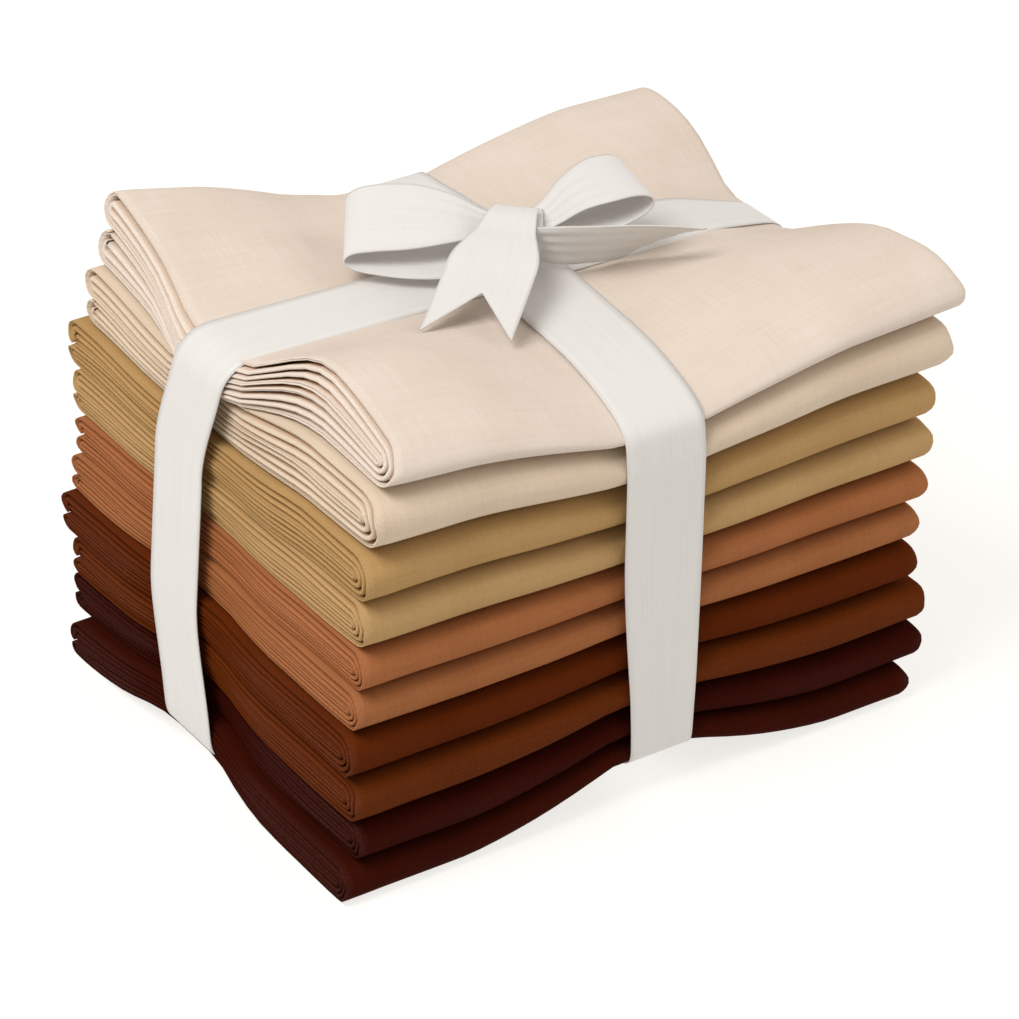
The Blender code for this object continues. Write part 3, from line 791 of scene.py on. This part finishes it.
def ribbon_band(name, node, outline, place, rounds):
    """A band of ribbon drawn round the stack; place turns an outline point and a side to a position."""
    line, whole = even_steps(outline, BAND_STEP)
    line = soften(line, rounds)
    bm = bmesh.new()
    flat = bm.loops.layers.uv.new("flat")
    bmesh.ops.create_grid(bm, x_segments=len(line), y_segments=BAND_ACROSS, size=1.0)
    where = {}
    for vert in bm.verts:
        step = round((vert.co.x + 1) / 2 * len(line))
        where[vert] = (step, vert.co.y)
    for face in bm.faces:
        for loop in face.loops:
            step, side = where[loop.vert]
            loop[flat].uv = (whole * MM * step / len(line), side * RIBBON_WIDTH / 2 * MM)
    for vert, (step, side) in where.items():
        vert.co = place(line[step % len(line)], side)
    bmesh.ops.remove_doubles(bm, verts=bm.verts, dist=0.001)
    piece = finish_piece(name, bm, SATIN, [node])
    thicken(piece, RIBBON_THICK)
    whole * MM


def lengthwise_y(x, z):
    """Where the lengthwise band's middle runs: it leans as it goes down the near end."""
    if z > LEAN_END_Z:
        side = LENGTH_Y_SIDE if x < 0 else LENGTH_Y
        return LENGTH_Y_TOP + (side - LENGTH_Y_TOP) * ease(-z, -LEAN_TOP_Z, -LEAN_END_Z)
    aim = LENGTH_Y_FOOT + (LENGTH_Y_SIDE - LENGTH_Y_FOOT) * ease(z, FOOT_END_Z, FOOT_TOP_Z)
    return LENGTH_Y + (aim - LENGTH_Y) * ramp(-x, -BOX_HALF[0], BOX_HALF[0])


def height_at(outline, across, top):
    """The height of a closed outline at a place along it, on its top or bottom run."""
    found = []
    for (ax, az), (bx, bz) in zip(outline, outline[1:] + outline[:1]):
        if min(ax, bx) <= across <= max(ax, bx) and ax != bx:
            found.append(az + (bz - az) * (across - ax) / (bx - ax))
    return max(found) if top else min(found)


def ribbon_bands(sheets):
    """The two bands; the crosswise one passes outside the lengthwise one above and below."""
    cloth = [vert.co / MM for sheet in sheets for vert in sheet.data.vertices]
    skin = CLOTH_THICK / 2 + RIBBON_CLEAR + RIBBON_THICK / 2
    near = RIBBON_WIDTH / 2 + ROOM_BESIDE_BAND
    under = [(p.x, p.z) for p in cloth if abs(p.y - lengthwise_y(p.x, p.z)) < near]
    length_line = swell(under, skin)

    def place_length(point, side):
        x, z = point
        gathered = ease(x, *END_GATHER_X) * ramp(z, *END_GATHER_Z)
        half = RIBBON_WIDTH / 2 * (1 - END_NARROWER * gathered)
        return Vector((x, lengthwise_y(x, z) + side * half, z))

    ribbon_band(
        "satin_band_lengthwise", "ribbon_lengthwise", length_line, place_length, BAND_ROUNDS[0],
    )
    points = [(p.y, p.z) for p in cloth if abs(p.x - cross_x(p.y)) < near]
    for x in [cross_x(LENGTH_Y) + side * RIBBON_WIDTH / 2 for side in (-1, 0, 1)]:
        for top in (True, False):
            z = height_at(length_line, x, top)
            middle = lengthwise_y(x, z)
            points += [(middle + edge * RIBBON_WIDTH / 2, z) for edge in (-1, 1)]
    cross_line = swell(points, skin)

    def place_cross(point, side):
        y, z = point
        gathered = ramp(-y, *FOOT_FRONT_Y) * ease(-z, -FOOT_GATHER_Z[0], -FOOT_GATHER_Z[1])
        half = RIBBON_WIDTH / 2 * (1 - FOOT_NARROWER * gathered)
        return Vector((cross_x(y) + FOOT_ASIDE * gathered + side * half, y, z))

    ribbon_band(
        "satin_band_crosswise", "ribbon_crosswise", cross_line, place_cross, BAND_ROUNDS[1]
    )


def smooth_path(stops, steps):
    """Places between the stops on a Catmull-Rom curve, as plain tuples."""
    path = []
    for n in range(len(stops) - 1):
        before = stops[max(n - 1, 0)]
        after = stops[min(n + 2, len(stops) - 1)]
        for k in range(steps):
            t = k / steps
            path.append(tuple(
                0.5 * (2 * b + (c - a) * t + (2 * a - 5 * b + 4 * c - d) * t * t
                       + (3 * b - a - 3 * c + d) * t ** 3)
                for a, b, c, d in zip(before, stops[n], stops[n + 1], after)
            ))
    return path + [tuple(stops[-1])]


def ribbon_strip(name, node, heading, stops, notch=0.0, slant=0.0, pleat=PLEAT_DEPTH):
    """A loop or tail of the bow: its cross-section pleats where the knot gathers it narrower.

    A tail's end is cut by the depth of its notch in the middle, or by its slant at the far side.
    """
    along = Vector((math.cos(heading), math.sin(heading), 0.0))
    level = Vector((-along.y, along.x, 0.0))
    if level.y < 0:
        level.negate()
    origin = Vector((KNOT_X, KNOT_Y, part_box("bow_knot")[0][2] / MM))
    path = [Place(*values) for values in smooth_path(stops, STRIP_STEPS)]
    middles = [origin + along * p.reach + level * p.side + Vector((0, 0, p.height)) for p in path]
    travel = [0.0]
    for a, b in zip(middles, middles[1:]):
        travel.append(travel[-1] + (b - a).length)
    bm = bmesh.new()
    flat = bm.loops.layers.uv.new("flat")
    bmesh.ops.create_grid(bm, x_segments=len(path) - 1, y_segments=STRIP_ACROSS, size=1.0)
    where = {vert: (round((vert.co.x + 1) / 2 * (len(path) - 1)), vert.co.y) for vert in bm.verts}
    for face in bm.faces:
        for loop in face.loops:
            step, side = where[loop.vert]
            loop[flat].uv = (travel[step] * MM, side * RIBBON_WIDTH / 2 * MM)
    for vert, (step, side) in where.items():
        cut = notch * (1 - abs(side)) + slant * (1 + side) / 2
        cut *= ease(travel[step] / travel[-1], TAIL_CUT_FROM, 1.0)
        reached = travel[step] - cut
        base = max(n for n in range(len(path)) if travel[n] <= reached + 1e-6)
        base = min(base, len(path) - 2)
        share = (reached - travel[base]) / (travel[base + 1] - travel[base])
        place, middle = path[base], middles[base].lerp(middles[base + 1], share)
        tilt = math.radians(place.tilt)
        across = level * math.cos(tilt) + Vector((0, 0, 1)) * math.sin(tilt)
        ahead, behind = middles[min(base + 2, len(path) - 1)], middles[max(base - 1, 0)]
        outward = (ahead - behind).cross(across).normalized()
        slack = max(RIBBON_WIDTH ** 2 - place.width ** 2, 0.0) ** 0.5 / (2 * PLEATS)
        wave = slack * pleat * math.cos(side * PLEATS * math.pi)
        vert.co = middle + across * (side * place.width / 2) + outward * wave
    piece = finish_piece(name, bm, SATIN, [node])
    thicken(piece, RIBBON_THICK)


def bow_knot():
    """The turn of ribbon wrapped round the bow's middle, gathered into soft creases."""
    low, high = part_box("bow_knot")
    centre = Vector((KNOT_X, KNOT_Y, (low[2] + high[2]) / 2 / MM))
    half_high = (high[2] - low[2]) / 2 / MM - RIBBON_THICK
    bm = bmesh.new()
    flat = bm.loops.layers.uv.new("flat")
    bmesh.ops.create_grid(bm, x_segments=KNOT_AROUND, y_segments=KNOT_RINGS, size=1.0)
    where = {vert: (round((vert.co.x + 1) / 2 * KNOT_AROUND), vert.co.y) for vert in bm.verts}
    for face in bm.faces:
        for loop in face.loops:
            step, side = where[loop.vert]
            loop[flat].uv = (KNOT_ROUND * MM * step / KNOT_AROUND, side * RIBBON_WIDTH / 2 * MM)
    for vert, (step, side) in where.items():
        angle = 2 * math.pi * (step % KNOT_AROUND) / KNOT_AROUND
        up, out = math.sin(angle), math.cos(angle)
        square = (abs(up) ** KNOT_SQUARE + abs(out) ** KNOT_SQUARE) ** (-1 / KNOT_SQUARE)
        face, tuck = min(abs(side) / KNOT_FACE, 1.0), ramp(abs(side), KNOT_FACE, 1.0)
        barrel = 1.0 - KNOT_BARREL * face ** 3 - KNOT_TUCK * tuck
        crease = KNOT_CREASE * math.sin(KNOT_CREASE_TURNS * side + KNOT_CREASE_LEAN * math.sin(angle))
        crease *= 1 - tuck
        reach = square * barrel
        outwards = math.copysign(KNOT_HALF_WIDE * face * (1 - KNOT_DRAW_IN * tuck ** 2), side)
        vert.co = (outwards, out * (KNOT_HALF_DEEP * reach + crease), up * (half_high * reach + crease))
    bmesh.ops.remove_doubles(bm, verts=bm.verts, dist=0.001)
    bmesh.ops.rotate(bm, cent=(0, 0, 0), matrix=Matrix.Rotation(KNOT_AXIS, 3, "Z"), verts=bm.verts)
    bmesh.ops.translate(bm, vec=centre, verts=bm.verts)
    piece = finish_piece("satin_knot", bm, SATIN, ["bow_knot"])
    thicken(piece, RIBBON_THICK)


def pale_floor():
    made, shader, bench = start_material("pale_paper")
    plug(shader, {}, {
        "Base Color": (FLOOR_GREY, FLOOR_GREY, FLOOR_GREY, 1.0),
        "Roughness": 0.9,
        "Specular IOR Level": 0.1,
        "Emission Color": FLOOR_GLOW,
        "Emission Strength": FLOOR_GLOW_STRENGTH,
    })
    bm = bmesh.new()
    bmesh.ops.create_grid(bm, x_segments=1, y_segments=1, size=FLOOR_HALF)
    mesh = bpy.data.meshes.new("floor")
    bm.to_mesh(mesh)
    bm.free()
    mesh.materials.append(made)
    floor = bpy.data.objects.new("floor", mesh)
    bpy.context.collection.objects.link(floor)


def area_light(name, azimuth, elevation, distance, size, power):
    """A square soft light that faces the bundle from a compass angle and a height angle."""
    lamp = bpy.data.lights.new(name, "AREA")
    lamp.shape = "SQUARE"
    lamp.size = size
    lamp.energy = power
    holder = bpy.data.objects.new(name, lamp)
    bpy.context.collection.objects.link(holder)
    away = from_angles(math.radians(azimuth), math.radians(elevation))
    holder.location = Vector(LIGHT_AIM) + away * distance
    holder.rotation_euler = away.to_track_quat("Z", "Y").to_euler()


def from_angles(azimuth, elevation):
    """The way from the bundle to something; azimuth 0 is the front, and positive turns to +X."""
    flat = math.cos(elevation)
    return Vector((math.sin(azimuth) * flat, -math.cos(azimuth) * flat, math.sin(elevation)))


def studio_light():
    world = bpy.data.worlds.new("studio")
    world.use_nodes = True
    sky = world.node_tree.nodes["Background"]
    sky.inputs["Color"].default_value = SKY_COLOUR
    sky.inputs["Strength"].default_value = SKY_STRENGTH
    bpy.context.scene.world = world
    area_light("key", -80.0, 56.0, 1.1, 0.6, 11.0)
    area_light("front_fill", 62.0, 30.0, 1.3, 0.9, 5.0)


def place_camera():
    seen = bpy.data.cameras.new("camera")
    seen.lens = CAMERA_LENS
    seen.sensor_width = SENSOR_WIDTH
    seen.clip_start = 0.05
    camera = bpy.data.objects.new("camera", seen)
    bpy.context.collection.objects.link(camera)
    away = from_angles(CAMERA_AZIMUTH, CAMERA_ELEVATION)
    camera.location = (Vector(CAMERA_TARGET) + away * CAMERA_DISTANCE) * MM
    camera.rotation_euler = away.to_track_quat("Z", "Y").to_euler()
    bpy.context.scene.camera = camera


bpy.context.scene.view_settings.view_transform = "Standard"
SATIN = white_satin()
place_camera()
studio_light()
pale_floor()
sheets = [cotton_sheet(n) for n in range(len(QUARTERS))]
ribbon_bands(sheets)
bow_knot()
ribbon_strip(
    "satin_loop_left", "bow_loop_left", HEADING_LOOP_LEFT, LOOP_LEFT
)
ribbon_strip(
    "satin_loop_right", "bow_loop_right", HEADING_LOOP_RIGHT, LOOP_RIGHT
)
ribbon_strip(
    "satin_tail_front", "bow_tail_front", HEADING_TAIL_FRONT, TAIL_FRONT,
    notch=TAIL_FRONT_NOTCH, pleat=FRONT_PLEAT_DEPTH,
)
ribbon_strip(
    "satin_tail_right", "bow_tail_right", HEADING_TAIL_RIGHT, TAIL_RIGHT,
    slant=TAIL_RIGHT_SLANT,
)
